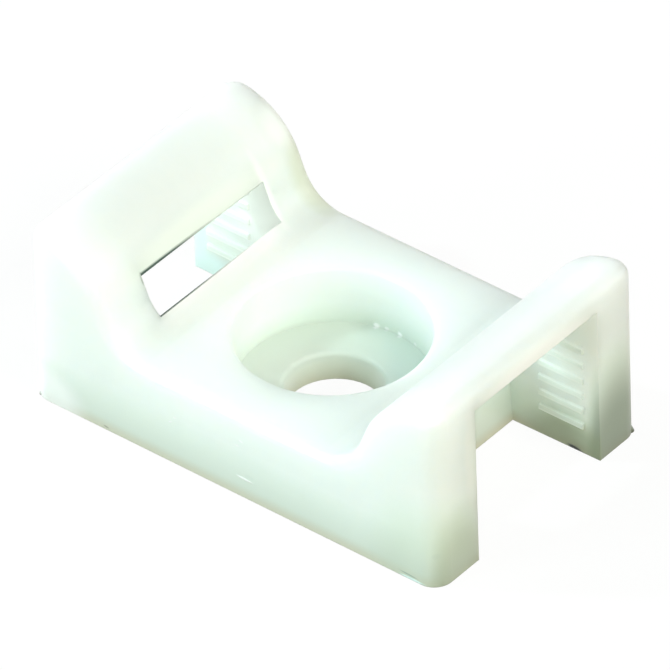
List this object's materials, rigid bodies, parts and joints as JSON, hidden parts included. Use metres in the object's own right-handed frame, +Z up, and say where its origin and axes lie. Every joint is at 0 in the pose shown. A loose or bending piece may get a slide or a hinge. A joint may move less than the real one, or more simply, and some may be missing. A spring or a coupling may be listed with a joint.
{
  "type": "cable tie mount",
  "caption": "Moulded nylon saddle mount for a cable tie, screwed down through its middle, with a passage for the tie under a raised lip at each end.",
  "frame": {"origin": "on the mounting face, at the axis of the screw hole", "axes": "+X along the body from lip to lip, +Y across it along the cable, +Z up from the mounting face"},
  "size_m": [0.022, 0.0136, 0.0089],
  "materials": {
    "nylon": "natural nylon, translucent milky white, satin as moulded"
  },
  "bodies": {
    "root": {"tie_mount": "nylon"}
  },
  "joints": []
}
